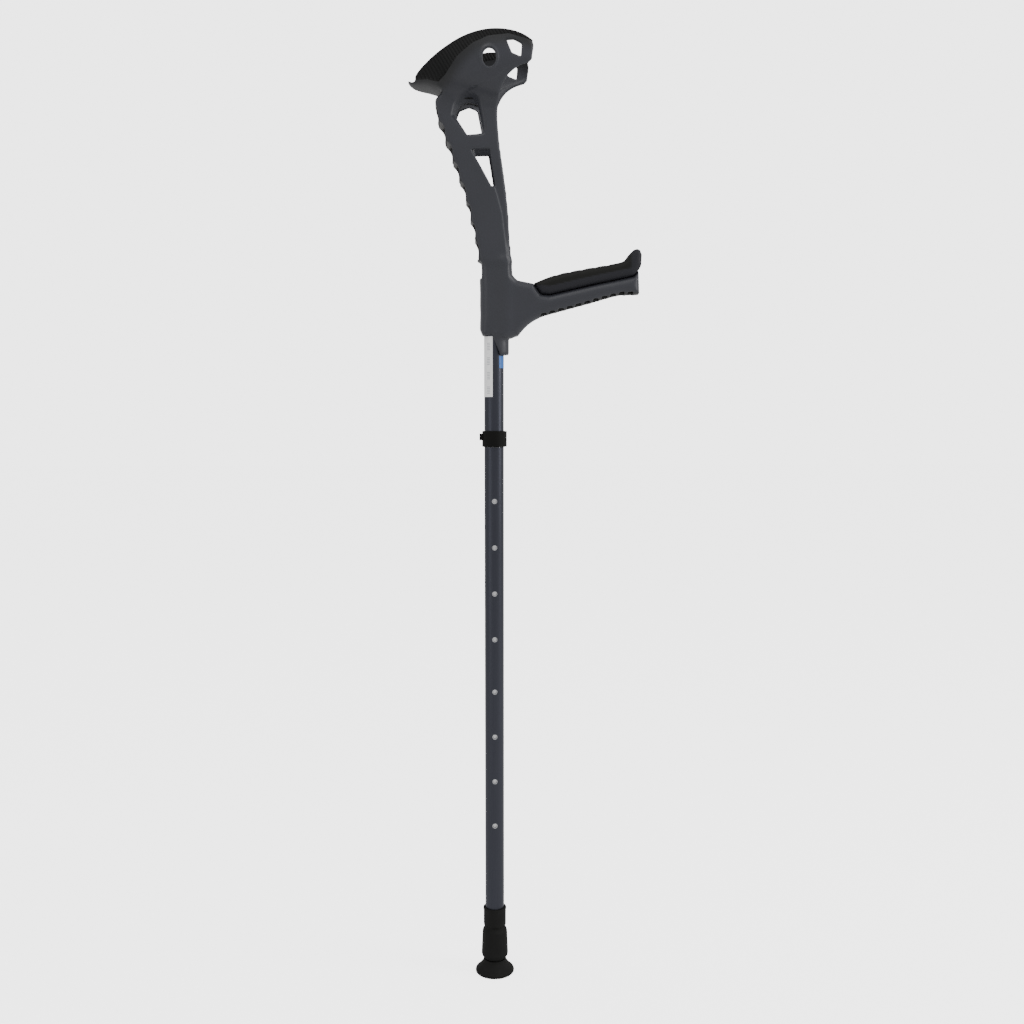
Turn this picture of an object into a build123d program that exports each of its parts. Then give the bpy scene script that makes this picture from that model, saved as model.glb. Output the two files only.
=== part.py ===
# Forearm crutch: moulded handle with open cuff, two-part adjustable tube and swivelling rubber foot.
# Frame: origin at the middle of the foot's contact face, +Z up the tube, +X along the hand grip.
from build123d import *
import os
from math import cos, radians, sin, sqrt

os.makedirs("parts", exist_ok=True)

# ---- tubes (mm) ----
tube_r = 11.0                # outer radius of both visible tubes
lower_wall = 1.2
lower_bore_r = tube_r - lower_wall
inner_r = 9.2                # necked part of the upper tube, which slides in the lower tube
inner_wall = 1.3
lower_tube_bottom = 45.0
lower_tube_top = 617.7
collar_z = 618.0             # underside of the collar clip
collar_height = 18.0
neck_top = 622.5             # where the upper tube starts to narrow
neck_bottom = 619.0
neck_shift = 0.4             # the bore narrows this much higher than the outside
inner_bottom = 163.0
upper_tube_top = 830.0
cap_flange = 2.5
cap_plug = 10.0
cap_wall = 2.0
sleeve_length = 47.0         # nylon sleeve in the lower tube's mouth
bush_length = 6.0            # each half of the bush at the foot of the sliding tube
bush_bore_r = 5.0
fit_gap = 0.06               # play of the sliding fits

film_thick = 0.12            # stickers

# ---- height adjustment ----
hole_pitch = 52.7
hole_count = 4
hole_r = 2.5
lower_row_z = 179.9          # lowest hole of the lower row
upper_row_z = 398.8          # lowest hole of the upper row
button_r = 2.25
button_play = 0.2            # round each button, in the upper tube's holes
across = 20.0                # cuts through the tubes' walls reach this far from the axis
button_tip_y = 12.3
spring_y = 7.0               # where each spring arm lies from the tube axis
spring_thick = 0.6
spring_width = 5.0
spring_rise = 26.0           # from the button up to the bend
spring_below = 5.0           # from the button down to the arm's end
spring_short = 4.0           # the far arm ends this much higher

# ---- collar clip ----
clip_r = 13.5
clip_door_bore_r = 11.35
clip_split = 0.15            # half the gap between the two halves
clip_pin_x = 12.8
clip_pin_r = 0.8
knuckle_r = 1.6
knuckle_play = 0.45          # round each knuckle, in the other half of the ring
knuckle_web = 3.4            # length of the web that joins a knuckle to its half
knuckle_gap = 0.2            # between neighbouring knuckles
clip_end = 0.3               # the pin stops this far inside the ring's two faces
knuckle_gap_z = (6.2, 10.0)  # the door's knuckle lies between these heights above the collar's underside

# ---- foot ----
ball_z = 30.0                # centre of the ball joint
ball_r = 6.5
bell_sphere_r = 18.0         # round underside of the ferrule
bell_r = 15.6                # widest part of the ferrule
bell_mouth_r = 7.6
bell_side = [(15.3, 30), (14.35, 51), (13.2, 53.2), (11.9, 54.5), (11.9, 56), (13.25, 57.4),
             (13.25, 78), (12.4, 79)]
ring_z = 20.5                # underside of the ring that holds the ball's seat
cup_z = 24.0                 # where that ring meets the cup
ring_mouth_r = 5.6
ring_lip_r = 6.4
ring_lip = 2.6
washer_thick = 2.0
seat_below = 4.0             # the seat's lower edge, below the ball's centre
seat_height = 11.5
stud_r = 3.0
core_r = 11.0
core_bottom = 5.0            # thickness of the rubber under the core
core_height = 12.0
head_r = 7.0                 # flat head of the stud, in the core's underside
head_thick = 2.5
neck_r = 12.5
tread_radii = (8.0, 13.0, 18.0)
tread_half = 0.9
tread_depth = 1.5
dish_gap = 0.35
foot_r = 22.75
cup_r = 8.7
seat_r = 8.6
seat_bore_r = 6.6

# ---- handle ----
wall = 3.5
socket_bottom = 742.0
bore_spare = 6.0             # room above the tube's end in the socket
tongue_bottom = 720.5
tongue_axes = (17.0, 14.0)
tongue_side = [(-1.5, 744), (-1.5, 739), (5, 724), (6, 720), (18, 720), (18, 744)]
grip_half = 14.5
pad_half = 15.5
cuff_tilt = 30.0             # lean of the forearm's line from vertical
cuff_centre = (-24.0, 0.0, 1030.0)
cuff_long = 82.0             # half length of the cuff's oval
cuff_wide = 50.0             # half width of the cuff's oval
cuff_shift = 14.0            # oval's centre ahead of cuff_centre
bowl_foot = (-57.5, 0.0, 1002.0)   # lowest line of the cuff's round underside, where it meets the brace
bowl_slope = 13.0            # rise of that line towards the back
bowl_wide = 46.0             # half width of the underside's round
bowl_deep = 40.0             # height of the underside's round
mast_half = 20.0
pad_thick = 2.0
band_proud = 1.2             # how far the soft rim's outer band stands out from the cuff
reach = 60.0                 # half width of the block that the side outlines are cut from
open_top_z = 1066.0          # above the rim, where the cuts that leave the cuff open end
clear_z = 1090.0             # above everything
rear_x = -110.0              # behind everything
slab_half_length = 150.0
oval_drop = 70.0             # the cuff's oval tube starts this far below cuff_centre
oval_length = 180.0
ridge_half = 7.0             # half width of the ridge that carries the grip's soft pad
bore_start_z = 700.0
pin_z = 800.0                # hidden cross pin that holds the tube in the socket
pin_r = 2.0
pin_half = 13.0

# half width of the handle at each height, from the socket to the top of the cuff
half_widths = [(742, 14.5), (800, 14.7), (850, 15), (900, 17), (940, 20), (965, 22.5), (985, 27),
               (1000, 32.5), (1012, 37.5), (1025, 41.5), (1038, 43), (1050, 42.5), (1068, 40)]

# side outline, as X, Z points
rim_line = [(-86, 1016), (-80, 1022), (-58.5, 1037.8), (-37.5, 1051.4), (-18, 1059.2), (0, 1062),
            (16.5, 1060.8), (30, 1056.8), (40, 1051.5)]
rim_caps = [2.5, 3, 3, 2.5, 1.5, 1, 1, 1, 1]     # soft pad's thickness over the rim, at each point of it
tip_line = [(-92, 1011), (-95, 1016), (-93.5, 1017), (-89, 1013.5)]
front_edge = [(41.5, 1045), (39.5, 1030.5), (36, 1027)]
front_curve = [(36, 1027), (25, 1023), (15.5, 1016), (9.5, 1007), (6, 996), (4.5, 984), (4.5, 972),
               (6.5, 948), (9.5, 928), (15, 889), (18, 850), (18.5, 825)]
back_line = [(-12.5, 742), (-16, 749), (-18, 775), (-18, 818), (-21, 845), (-32.5, 893), (-49, 940),
             (-65, 983), (-64, 994)]
lip_line = [(-57.5, 1003), (-72.5, 1008), (-88, 1009.5)]
slab_side = [(-150, 700), (150, 700), (150, 1014), (-48, 1014), (-57.5, 1002), (-65, 996),
             (-150, 996)]
band_line = [(35.5, 1048.5), (14.5, 1054.5), (-6.5, 1052), (-22.5, 1045), (-38.5, 1032),
             (-52, 1015), (-60, 1009.5), (-72, 1012), (-84, 1013)]
saddle_line = [(-100, 1013.5), (-78, 1012), (-62, 1006), (-51, 994), (-44, 978), (-33, 957),
               (-22, 938), (-6, 903), (4, 875), (8, 852), (14, 840), (70, 840)]
channel_line = [(-60, 1000), (-57, 988), (-50, 978), (-38, 955), (-27, 936), (-11, 901), (-9, 880),
                (-13.5, 850), (-13.5, 824)]
pad_area = [(-100, 1008), (-62, 1003), (-52, 997), (-38, 994), (-15, 994), (-15, 1066),
            (-100, 1066)]
ridge_side = [(50, 780), (148, 800), (157, 812), (158, 830), (155, 829), (148, 820), (134, 815),
              (100, 809), (56, 799)]
brace_window = [(-41.5, 976), (-37, 988), (-27, 992), (-18, 989), (-12, 959.5), (-29.5, 957)]
lower_window = [(-24.5, 941), (-5.5, 942), (0.5, 903.5), (-3, 903.5)]
front_window = [(13, 1048.5), (20, 1049), (28, 1045), (27, 1033), (18, 1036.5)]

# pockets of the back channel
pocket_count = 9
pocket_first_z = 981.0
pocket_pitch = 20.86
rib_half = 1.3
scallop_r = 12.0
scallop_depth = 4.4
scallop_back = 1.5           # how far the scallops stand back from that depth

# oval port through both sides of the cuff
port_x = -6.0
port_z = 1031.0
port_lean = 6.5              # slope of the cuff's side at the port
port_plane_y = 39.4          # where the raised ring starts
port_ring_height = 4.3
port_axes = (7.2, 9.2)
port_ring = (9.6, 12.2)

# hand grip
grip_top = [(17, 822), (19, 808), (26, 803), (44, 799.5)]
pad_top = [(44, 799.5), (68, 808.7), (100, 815.5), (134, 821.5), (145, 825), (151, 832)]
pad_lip = [(155, 836.5), (159, 838), (162.5, 836.5), (164.5, 831.5), (164, 820)]
grip_under = [(162.5, 788.5), (150, 787.5), (137, 786.5), (107, 778), (74, 769), (52, 762.5),
              (38, 754)]
pad_seam = [(161.5, 815), (155, 808), (110, 798.5), (61, 787), (52, 788)]
grip_pocket_count = 11
grip_pocket_first_x = 55.0
grip_pocket_pitch = 9.7
grip_pocket_length = 6.5
grip_pocket_half = 10.5
grip_pocket_depth = 15.0
grip_web_half = 1.5          # rib along the middle of the grip's underside
grip_notch_depth = 2.6       # dips in the grip's side walls at each pocket


def line_at(points, height):
    """X of a side line at a height, by straight runs between its points."""
    for (x0, z0), (x1, z1) in zip(points, points[1:]):
        if min(z0, z1) <= height <= max(z0, z1) and z0 != z1:
            return x0 + (x1 - x0) * (height - z0) / (z1 - z0)
    return points[0][0] if abs(points[0][1] - height) < abs(points[-1][1] - height) else points[-1][0]


def height_at(points, x):
    """Z of a side line at an X, by straight runs between its points."""
    return line_at([(z, px) for px, z in points], x)


def sleeve_envelope(inset):
    """Leaning oval tube of the cuff, with its round underside and the brace's slab, drawn in by inset."""
    lean = radians(cuff_tilt)
    along = (-sin(lean), 0, cos(lean))
    base = tuple(c - oval_drop * a for c, a in zip(cuff_centre, along))
    oval_plane = Plane(origin=base, x_dir=(cos(lean), 0, sin(lean)), z_dir=along)
    slope = radians(bowl_slope)
    bowl_plane = Plane(origin=bowl_foot, x_dir=(0, 1, 0), z_dir=(cos(slope), 0, -sin(slope)))
    with BuildPart() as envelope:
        with BuildSketch(oval_plane):
            with Locations((cuff_shift, 0)):
                Ellipse(cuff_long - inset, cuff_wide - inset)
        extrude(amount=oval_length)
        with BuildSketch(bowl_plane):
            with Locations((0, bowl_deep)):
                Ellipse(bowl_wide - inset, bowl_deep - inset)
            with Locations((0, bowl_deep + reach)):
                Rectangle(2 * (bowl_wide - inset), 2 * reach)
        extrude(amount=slab_half_length, both=True, mode=Mode.INTERSECT)
        with BuildSketch(Plane.XZ):
            with BuildLine():
                Polyline(*slab_side, close=True)
            make_face()
        extrude(amount=mast_half - inset, both=True)
    return envelope.part


def handle_block(runs, inset):
    """Side outline, given as curved and straight runs, cut to the half widths and to the envelope."""
    with BuildPart() as block:
        with BuildSketch(Plane.XZ):
            with BuildLine():
                for curved, points in runs:
                    if curved:
                        Spline(*points)
                    else:
                        Polyline(*points)
            make_face()
        extrude(amount=reach, both=True)
        with BuildSketch(Plane.YZ.offset(-slab_half_length)):
            with BuildLine():
                right = [(half - inset, z) for z, half in half_widths]
                left = [(-y, z) for y, z in right]
                Spline(*right)
                Line(right[-1], left[-1])
                Spline(*left)
                Line(left[0], right[0])
            make_face()
        extrude(amount=2 * slab_half_length, mode=Mode.INTERSECT)
        add(sleeve_envelope(inset), mode=Mode.INTERSECT)
    return block.part


def arm_space(inset):
    """Open trough for the forearm, down the front of the brace."""
    outline = [(x + inset, z) for x, z in saddle_line] + [(70, open_top_z), (-100, open_top_z)]
    return handle_block([(False, outline + outline[:1])], inset)


# ---- handle ----
rim_under = [(x, z - cap) for (x, z), cap in zip(rim_line, rim_caps)]
lower_outline = [front_curve[-1], (front_curve[-1][0], socket_bottom)] + back_line + lip_line + tip_line
handle_outline = [(True, rim_under), (False, [rim_under[-1]] + front_edge), (True, front_curve),
                  (False, lower_outline + [rim_under[0]])]

# half-round tongue over the front of the tube, with its rear edge cut on a slant
with BuildPart() as tongue:
    with BuildSketch(Plane.XY.offset(tongue_bottom)):
        Ellipse(*tongue_axes)
    extrude(amount=socket_bottom - tongue_bottom + 2)
    with BuildSketch(Plane.XZ):
        with BuildLine():
            Polyline(*tongue_side, close=True)
        make_face()
    extrude(amount=reach, both=True, mode=Mode.INTERSECT)

with BuildPart() as handle_frame:
    add(handle_block(handle_outline, 0))
    # oval port with its raised ring, on both sides
    for side in (-1, 1):
        port_plane = Plane(origin=(port_x, side * port_plane_y, port_z), x_dir=(1, 0, 0),
                           z_dir=(0, side * cos(radians(port_lean)), -sin(radians(port_lean))))
        with BuildSketch(port_plane):
            Ellipse(*port_ring)
        extrude(amount=port_ring_height)
    add(arm_space(wall), mode=Mode.SUBTRACT)
    with BuildSketch(Plane.XZ.offset(-reach)):
        with Locations((port_x, port_z)):
            Ellipse(*port_axes)
    extrude(amount=2 * reach, mode=Mode.SUBTRACT)
    # windows through both sides of the brace and of the cuff's front corner
    for window in (brace_window, lower_window, front_window):
        with BuildSketch(Plane.XZ):
            with BuildLine():
                Polyline(*window, close=True)
            make_face()
        extrude(amount=reach, both=True, mode=Mode.SUBTRACT)
    # channel down the back of the brace, in pockets with scalloped edges
    pocket_heights = [pocket_first_z - pocket_pitch * k for k in range(pocket_count)]
    for height in pocket_heights:
        half = pocket_pitch / 2 - rib_half
        top, bottom = height + half, height - half
        deep_top, deep_bottom = line_at(channel_line, top), line_at(channel_line, bottom)
        pocket_half = min(mast_half, line_at([(wide, z) for z, wide in half_widths], height)) - wall
        with BuildSketch(Plane.XZ):
            with BuildLine():
                Polyline((rear_x, top), (deep_top, top), (deep_bottom, bottom), (rear_x, bottom),
                         close=True)
            make_face()
        extrude(amount=pocket_half, both=True, mode=Mode.SUBTRACT)
        scallop_x = line_at(back_line, height) - scallop_r + scallop_depth - scallop_back
        with BuildSketch(Plane.XZ):
            with Locations((scallop_x, height)):
                Circle(scallop_r)
        extrude(amount=reach, both=True, mode=Mode.SUBTRACT)
    # hand grip core
    with BuildSketch(Plane.XZ):
        with BuildLine():
            Polyline(*grip_top, *reversed(pad_seam), *grip_under, (27, 742), (10, 742), (10, 822),
                     close=True)
        make_face()
    extrude(amount=grip_half, both=True)
    # ridge that carries the soft pad
    with BuildSketch(Plane.XZ):
        with BuildLine():
            Polyline(*ridge_side, close=True)
        make_face()
    extrude(amount=ridge_half, both=True)
    # pockets between the cross ribs under the grip
    for k in range(grip_pocket_count):
        x = grip_pocket_first_x + grip_pocket_pitch * k
        underside = height_at(list(reversed(grip_under)), x)
        pocket_wide = grip_pocket_half - grip_web_half
        for wide, deep in ((pocket_wide, grip_pocket_depth), (pad_half, grip_notch_depth)):
            aside = grip_web_half + wide / 2
            with Locations((x, aside, underside), (x, -aside, underside)):
                Box(grip_pocket_length, wide, 2 * deep, mode=Mode.SUBTRACT)
    # tongue over the front of the tube, and the socket's bore
    add(tongue.part)
    with BuildSketch(Plane.XY.offset(bore_start_z)):
        Circle(tube_r)
    extrude(amount=upper_tube_top + bore_spare - bore_start_z, mode=Mode.SUBTRACT)
    # bore for the hidden cross pin, blind at both ends
    with BuildSketch(Plane.XZ.offset(-pin_half)):
        with Locations((0, pin_z)):
            Circle(pin_r)
    extrude(amount=2 * pin_half, mode=Mode.SUBTRACT)
handle_frame.part.label = "handle_frame"
export_step(handle_frame.part, "parts/handle_frame.step")

band_back = [rim_line[-1], (41, rim_under[-1][1])] + band_line + [rim_line[0]]
band_outline = [(True, rim_line), (False, band_back)]

with BuildPart() as lining:
    add(arm_space(wall))
    with BuildSketch(Plane.XZ):
        with BuildLine():
            Polyline(*pad_area, close=True)
        make_face()
    extrude(amount=reach, both=True, mode=Mode.INTERSECT)

with BuildPart() as cuff_pad:
    add(handle_block(band_outline, -band_proud))
    add(handle_block(handle_outline, 0), mode=Mode.SUBTRACT)
    add(lining.part)
    add(arm_space(wall + pad_thick), mode=Mode.SUBTRACT)
    # everything above the rim
    with BuildSketch(Plane.XZ):
        with BuildLine():
            Spline(*rim_line)
            Polyline(rim_line[-1], (reach, rim_line[-1][1]), (reach, clear_z), (rear_x, clear_z),
                     (rear_x, 1008), (-90, 1014), rim_line[0])
        make_face()
    extrude(amount=reach, both=True, mode=Mode.SUBTRACT)
cuff_pad.part.label = "cuff_pad"
export_step(cuff_pad.part, "parts/cuff_pad.step")

with BuildPart() as grip_pad:
    with BuildSketch(Plane.XZ):
        with BuildLine():
            Spline(*pad_top)
            Polyline(pad_top[-1], *pad_lip, *pad_seam, pad_top[0])
        make_face()
    extrude(amount=pad_half, both=True)
    add(handle_frame.part, mode=Mode.SUBTRACT)
grip_pad.part.label = "grip_pad"
export_step(grip_pad.part, "parts/grip_pad.step")

# ---- upper tube and what it carries ----
with BuildPart() as upper_tube:
    with BuildSketch(Plane.XZ):
        with BuildLine():
            bore_r = tube_r - inner_wall
            neck_bore_r = inner_r - inner_wall
            Polyline((inner_r, inner_bottom), (inner_r, neck_bottom), (tube_r, neck_top),
                     (tube_r, upper_tube_top), (bore_r, upper_tube_top), (bore_r, neck_top + neck_shift),
                     (neck_bore_r, neck_bottom + neck_shift), (neck_bore_r, inner_bottom), close=True)
        make_face()
    revolve(axis=Axis.Z)
    # holes for the two snap buttons, on the side away from the labels
    with BuildSketch(Plane.XZ):
        with Locations((0, lower_row_z), (0, upper_row_z)):
            Circle(button_r + button_play)
    extrude(amount=-across, mode=Mode.SUBTRACT)
    with BuildSketch(Plane.XZ.offset(-across)):
        with Locations((0, pin_z)):
            Circle(pin_r)
    extrude(amount=2 * across, mode=Mode.SUBTRACT)
upper_tube.part.label = "upper_tube"
export_step(upper_tube.part, "parts/upper_tube.step")

with BuildPart() as tube_cap:
    with BuildSketch(Plane.XY.offset(upper_tube_top)):
        Circle(tube_r)
    extrude(amount=cap_flange)
    with BuildSketch(Plane.XY.offset(upper_tube_top)):
        Circle(tube_r - inner_wall)
    extrude(amount=-cap_plug)
    with BuildSketch(Plane.XY.offset(upper_tube_top - cap_plug)):
        Circle(tube_r - inner_wall - cap_wall)
    extrude(amount=cap_plug - cap_wall, mode=Mode.SUBTRACT)
    fillet(tube_cap.edges().group_by(Axis.Z)[-1], 0.8)
tube_cap.part.label = "tube_cap"
export_step(tube_cap.part, "parts/tube_cap.step")

with BuildPart() as socket_pin:
    with BuildSketch(Plane.XZ.offset(-pin_half)):
        with Locations((0, pin_z)):
            Circle(pin_r)
    extrude(amount=2 * pin_half)
    chamfer(socket_pin.edges().filter_by(GeomType.CIRCLE), 0.4)
socket_pin.part.label = "socket_pin"
export_step(socket_pin.part, "parts/socket_pin.step")


def sticker(start, sweep, bottom, top):
    """Thin curved sticker on the upper tube, from start degrees round by sweep."""
    with BuildPart() as film:
        with BuildSketch(Plane.XZ):
            with Locations((tube_r + film_thick / 2, (bottom + top) / 2)):
                Rectangle(film_thick, top - bottom)
        revolve(axis=Axis.Z, revolution_arc=sweep)
    return film.part.rotate(Axis.Z, start)


label_white = sticker(161, 99, 674, 741)
label_white.label = "label_white"
export_step(label_white, "parts/label_white.step")

label_blue = sticker(-60, 56, 706, 719.5)
label_blue.label = "label_blue"
export_step(label_blue, "parts/label_blue.step")


# ---- collar clip at the foot of the upper tube ----
def half_ring(bore_r, side):
    """Half of the collar's ring, on the +Y side for side 1 and the -Y side for side -1."""
    with BuildPart() as ring:
        with BuildSketch(Plane.XY.offset(collar_z)):
            Circle(clip_r)
            Circle(bore_r, mode=Mode.SUBTRACT)
        extrude(amount=collar_height)
        chamfer(ring.edges().filter_by(GeomType.CIRCLE).sort_by(SortBy.RADIUS)[-2:], 0.8)
        with BuildSketch(Plane.XY.offset(collar_z)):
            with Locations((0, -side * (across - clip_split))):
                Rectangle(3 * across, 2 * across)
        extrude(amount=collar_height, mode=Mode.SUBTRACT)
        with BuildSketch(Plane.XY.offset(collar_z)):
            with Locations((clip_pin_x, 0)):
                Circle(knuckle_r + knuckle_play)
        extrude(amount=collar_height, mode=Mode.SUBTRACT)
    return ring.part


def knuckle(bottom, top, side):
    """Hinge knuckle with its web, between two heights above the collar's underside."""
    with BuildPart() as barrel:
        with BuildSketch(Plane.XY.offset(collar_z + bottom)):
            with Locations((clip_pin_x, 0)):
                Circle(knuckle_r)
            with Locations((clip_pin_x + 0.1, side * knuckle_web / 2)):
                Rectangle(1.5, knuckle_web)
            with Locations((clip_pin_x, 0)):
                Circle(clip_pin_r, mode=Mode.SUBTRACT)
        extrude(amount=top - bottom)
    return barrel.part


with BuildPart() as clip_shell:
    add(half_ring(tube_r, 1))
    add(knuckle(clip_end, knuckle_gap_z[0] - knuckle_gap, 1))
    add(knuckle(knuckle_gap_z[1] + knuckle_gap, collar_height - clip_end, 1))
    with Locations((-13.8, 1.4, collar_z + 11)):
        Box(2.2, 2.4, 4)
clip_shell.part.label = "clip_shell"
export_step(clip_shell.part, "parts/clip_shell.step")

with BuildPart() as clip_door:
    add(half_ring(clip_door_bore_r, -1))
    add(knuckle(*knuckle_gap_z, -1))
    with BuildSketch(Plane.XY.offset(collar_z + 7.5)):
        with Locations((-14.4, -2.0)):
            RectangleRounded(4.4, 3.6, 1.0)
    extrude(amount=7.5)
clip_door.part.label = "clip_door"
export_step(clip_door.part, "parts/clip_door.step")

with BuildPart() as clip_pin:
    with BuildSketch(Plane.XY.offset(collar_z + clip_end)):
        with Locations((clip_pin_x, 0)):
            Circle(clip_pin_r)
    extrude(amount=collar_height - 2 * clip_end)
clip_pin.part.label = "clip_pin"
export_step(clip_pin.part, "parts/clip_pin.step")


# ---- snap buttons and their springs, inside the sliding tube ----
def snap_button(height):
    """Button that reaches out through both tube walls on the +Y side."""
    with BuildPart() as button:
        with BuildSketch(Plane.XZ.offset(-(spring_y + spring_thick / 2))):
            with Locations((0, height)):
                Circle(button_r)
        extrude(amount=-(button_tip_y - spring_y - spring_thick / 2))
        fillet(button.edges().filter_by(GeomType.CIRCLE).sort_by(Axis.Y)[-1], 1.0)
    return button.part


def snap_spring(height):
    """U-shaped strip: two arms along the tube joined by a round bend above the button."""
    outer = spring_y + spring_thick / 2
    inner = spring_y - spring_thick / 2
    bend = height + spring_rise - spring_y
    low = height - spring_below
    far_low = low + spring_short
    with BuildPart() as strip:
        with BuildSketch(Plane.YZ.offset(-spring_width / 2)):
            with BuildLine():
                Line((outer, low), (outer, bend))
                CenterArc((0, bend), outer, 0, 180)
                Polyline((-outer, bend), (-outer, far_low), (-inner, far_low), (-inner, bend))
                CenterArc((0, bend), inner, 0, 180)
                Polyline((inner, bend), (inner, low), (outer, low))
            make_face()
        extrude(amount=spring_width)
    return strip.part


upper_button = snap_button(upper_row_z)
upper_button.label = "upper_button"
export_step(upper_button, "parts/upper_button.step")

lower_button = snap_button(lower_row_z)
lower_button.label = "lower_button"
export_step(lower_button, "parts/lower_button.step")

upper_button_spring = snap_spring(upper_row_z)
upper_button_spring.label = "upper_button_spring"
export_step(upper_button_spring, "parts/upper_button_spring.step")

lower_button_spring = snap_spring(lower_row_z)
lower_button_spring.label = "lower_button_spring"
export_step(lower_button_spring, "parts/lower_button_spring.step")

with BuildPart() as end_bush:
    with BuildSketch(Plane.XY.offset(inner_bottom - bush_length)):
        Circle(lower_bore_r - fit_gap)
    extrude(amount=bush_length)
    with BuildSketch(Plane.XY.offset(inner_bottom)):
        Circle(inner_r - inner_wall)
    extrude(amount=bush_length)
    with BuildSketch(Plane.XY.offset(inner_bottom - bush_length)):
        Circle(bush_bore_r)
    extrude(amount=2 * bush_length, mode=Mode.SUBTRACT)
    chamfer(end_bush.edges().group_by(Axis.Z)[0].sort_by(SortBy.RADIUS)[-1], 1.0)
end_bush.part.label = "end_bush"
export_step(end_bush.part, "parts/end_bush.step")

# ---- lower tube ----
hole_heights = [row + hole_pitch * k for row in (lower_row_z, upper_row_z) for k in range(hole_count)]

with BuildPart() as lower_tube:
    with BuildSketch(Plane.XY.offset(lower_tube_bottom)):
        Circle(tube_r)
        Circle(lower_bore_r, mode=Mode.SUBTRACT)
    extrude(amount=lower_tube_top - lower_tube_bottom)
    with BuildSketch(Plane.XZ.offset(-across)):
        with Locations(*[(0, height) for height in hole_heights]):
            Circle(hole_r)
    extrude(amount=2 * across, mode=Mode.SUBTRACT)
lower_tube.part.label = "lower_tube"
export_step(lower_tube.part, "parts/lower_tube.step")

with BuildPart() as mouth_sleeve:
    with BuildSketch(Plane.XY.offset(lower_tube_top - 1 - sleeve_length)):
        Circle(lower_bore_r)
        Circle(inner_r + fit_gap, mode=Mode.SUBTRACT)
    extrude(amount=sleeve_length)
mouth_sleeve.part.label = "mouth_sleeve"
export_step(mouth_sleeve.part, "parts/mouth_sleeve.step")

# ---- swivelling foot ----
bell_turn = sqrt(bell_sphere_r ** 2 - bell_r ** 2)   # how far below the ball's centre the side ends

with BuildPart() as ferrule_sleeve:
    with BuildSketch(Plane.XZ):
        with BuildLine():
            low_turn = ball_z - sqrt(bell_sphere_r ** 2 - bell_mouth_r ** 2)
            RadiusArc((bell_mouth_r, low_turn), (bell_r, ball_z - bell_turn), -bell_sphere_r)
            Polyline((bell_r, ball_z - bell_turn), *bell_side, (tube_r, bell_side[-1][1]),
                     (tube_r, ring_z), (bell_mouth_r + 1.2, ring_z), (bell_mouth_r, low_turn))
        make_face()
    revolve(axis=Axis.Z)
ferrule_sleeve.part.label = "ferrule_sleeve"
export_step(ferrule_sleeve.part, "parts/ferrule_sleeve.step")

with BuildPart() as thrust_washer:
    with BuildSketch(Plane.XY.offset(lower_tube_bottom - washer_thick)):
        Circle(tube_r)
        Circle(stud_r, mode=Mode.SUBTRACT)
    extrude(amount=washer_thick)
thrust_washer.part.label = "thrust_washer"
export_step(thrust_washer.part, "parts/thrust_washer.step")

with BuildPart() as socket_cup:
    with BuildSketch(Plane.XY.offset(cup_z)):
        Circle(tube_r)
    extrude(amount=lower_tube_bottom - washer_thick - cup_z)
    with Locations((0, 0, ball_z)):
        Sphere(cup_r, mode=Mode.SUBTRACT)
    with BuildSketch(Plane.XY.offset(cup_z)):
        Circle(cup_r)
    extrude(amount=ball_z - cup_z, mode=Mode.SUBTRACT)
socket_cup.part.label = "socket_cup"
export_step(socket_cup.part, "parts/socket_cup.step")

with BuildPart() as cup_ring:
    with BuildSketch(Plane.XY.offset(ring_z)):
        Circle(tube_r)
    extrude(amount=cup_z - ring_z)
    with BuildSketch(Plane.XY.offset(cup_z)):
        Circle(cup_r)
        Circle(ring_lip_r, mode=Mode.SUBTRACT)
    extrude(amount=ring_lip)
    with Locations((0, 0, ball_z)):
        Sphere(cup_r, mode=Mode.SUBTRACT)
    with BuildSketch(Plane.XY.offset(ring_z)):
        Circle(ring_mouth_r)
    extrude(amount=2 * (cup_z - ring_z), mode=Mode.SUBTRACT)
cup_ring.part.label = "cup_ring"
export_step(cup_ring.part, "parts/cup_ring.step")

with BuildPart() as ball_seat:
    with Locations((0, 0, ball_z)):
        Sphere(seat_r)
    with BuildSketch(Plane.XY.offset(ball_z - seat_below)):
        Circle(across)
    extrude(amount=seat_height, mode=Mode.INTERSECT)
    with Locations((0, 0, ball_z)):
        Sphere(seat_bore_r, mode=Mode.SUBTRACT)
ball_seat.part.label = "ball_seat"
export_step(ball_seat.part, "parts/ball_seat.step")

with BuildPart() as ball_stud:
    with Locations((0, 0, ball_z)):
        Sphere(ball_r)
    with BuildSketch(Plane.XY.offset(core_bottom + 1)):
        Circle(stud_r)
    extrude(amount=ball_z - core_bottom - 1)
    with BuildSketch(Plane.XY.offset(core_bottom)):
        Circle(head_r)
    extrude(amount=head_thick)
ball_stud.part.label = "ball_stud"
export_step(ball_stud.part, "parts/ball_stud.step")

dish_r = bell_sphere_r + dish_gap
with BuildPart() as foot_core:
    with BuildSketch(Plane.XY.offset(core_bottom)):
        Circle(core_r)
    extrude(amount=core_height)
    with Locations((0, 0, ball_z)):
        Sphere(dish_r, mode=Mode.SUBTRACT)
    with BuildSketch(Plane.XY.offset(core_bottom)):
        Circle(stud_r)
    extrude(amount=core_height, mode=Mode.SUBTRACT)
    with BuildSketch(Plane.XY.offset(core_bottom)):
        Circle(head_r)
    extrude(amount=head_thick, mode=Mode.SUBTRACT)
foot_core.part.label = "foot_core"
export_step(foot_core.part, "parts/foot_core.step")

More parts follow.
